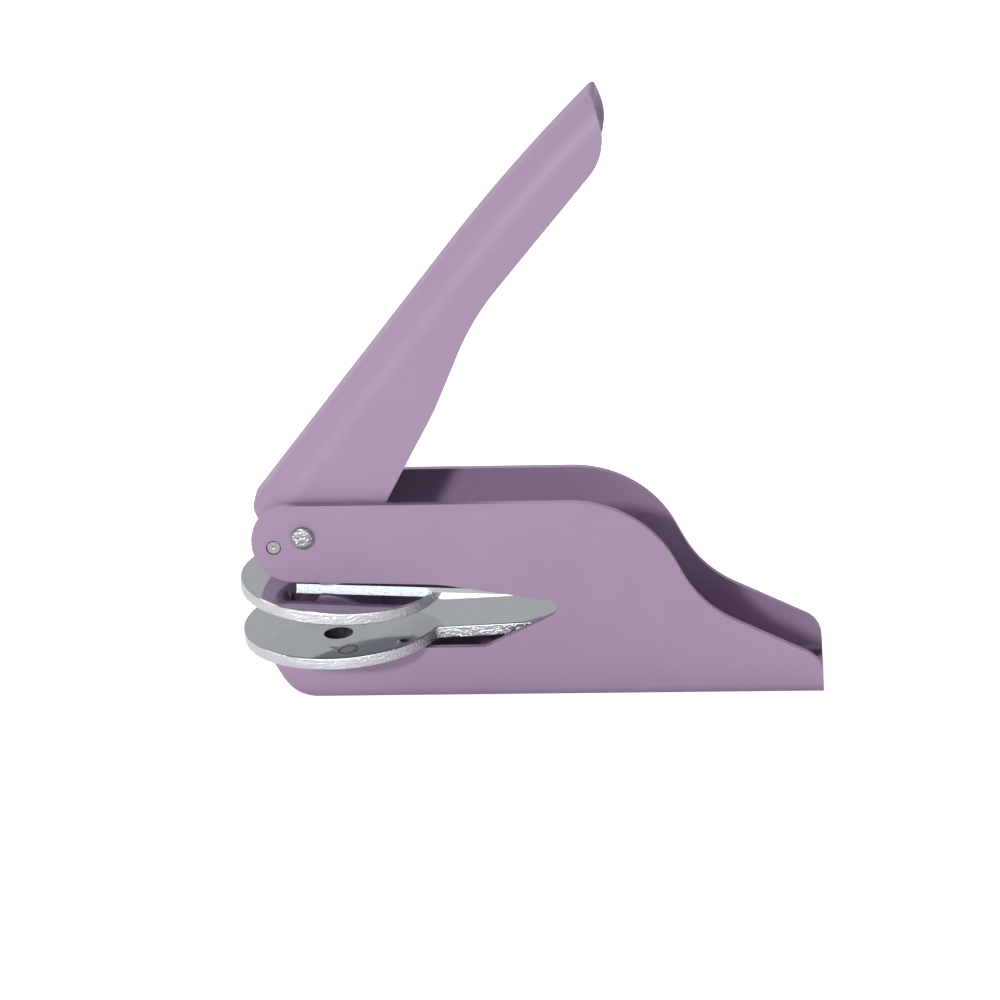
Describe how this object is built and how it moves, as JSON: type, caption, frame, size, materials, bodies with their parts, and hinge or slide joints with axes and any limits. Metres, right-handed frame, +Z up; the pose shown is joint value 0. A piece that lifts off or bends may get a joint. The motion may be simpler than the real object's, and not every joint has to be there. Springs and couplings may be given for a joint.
{
  "type": "seal embosser",
  "caption": "Hand-held seal embosser: a bent sheet base with two side walls, a hinged channel lever, and two round jaws around a paper throat.",
  "frame": {"origin": "centre of the flat underside of the base, half way along its length and across its width", "axes": "+Z up; +X along the base from the jaws to the rear, the side where the lever's grip lies; +Y across, away from the side that the picture shows"},
  "size_m": [0.1238, 0.0432, 0.1312],
  "materials": {
    "frame_paint": "fine matte powder coat",
    "lever_paint": "fine matte powder coat",
    "jaw_chrome": "bright chrome, sheared rims",
    "leaf_steel": "bright chrome on spring steel",
    "rivet_steel": "plated, satin",
    "bush_steel": "turned",
    "pin_steel": "turned end with a centre mark",
    "spring_steel": "drawn wire",
    "block_steel": "plated, satin",
    "screw_steel": "plated, satin"
  },
  "bodies": {
    "frame": {"frame_channel": "frame_paint", "pivot_rivet": "rivet_steel", "pivot_bush": "bush_steel", "stop_pin": "pin_steel", "lower_jaw": "jaw_chrome", "jaw_spacer": "block_steel", "clamp_plate": "block_steel", "heel_block": "block_steel", "jaw_rivet_near": "rivet_steel", "jaw_rivet_far": "rivet_steel", "jaw_screw": "screw_steel", "lock_washer": "screw_steel", "heel_screw_front": "screw_steel", "heel_screw_rear": "screw_steel"},
    "lever": {"handle_lever": "lever_paint", "torsion_spring": "spring_steel"},
    "upper_jaw": {"upper_disc": "jaw_chrome", "leaf_spring": "leaf_steel", "disc_rivet": "rivet_steel", "locating_rivet": "rivet_steel"}
  },
  "joints": [
    {"name": "handle_press", "type": "hinge", "parent": "frame", "child": "lever", "pos_m": [-0.05393, 0, 0.03744], "axis": [0, 1, 0], "range_deg": [0, 40], "stiffness_Nm_per_rad": 0.3, "springref_deg": -20.05, "deforming": ["torsion_spring"]},
    {"name": "jaw_close", "type": "hinge", "parent": "frame", "child": "upper_jaw", "pos_m": [-0.0115, 0, 0.02347], "axis": [0, 1, 0], "range_deg": [-4.78, 0], "deforming": ["leaf_spring"]}
  ],
  "couplings": [
    {"joint": "jaw_close", "follows": "handle_press", "ratio": -0.119}
  ]
}
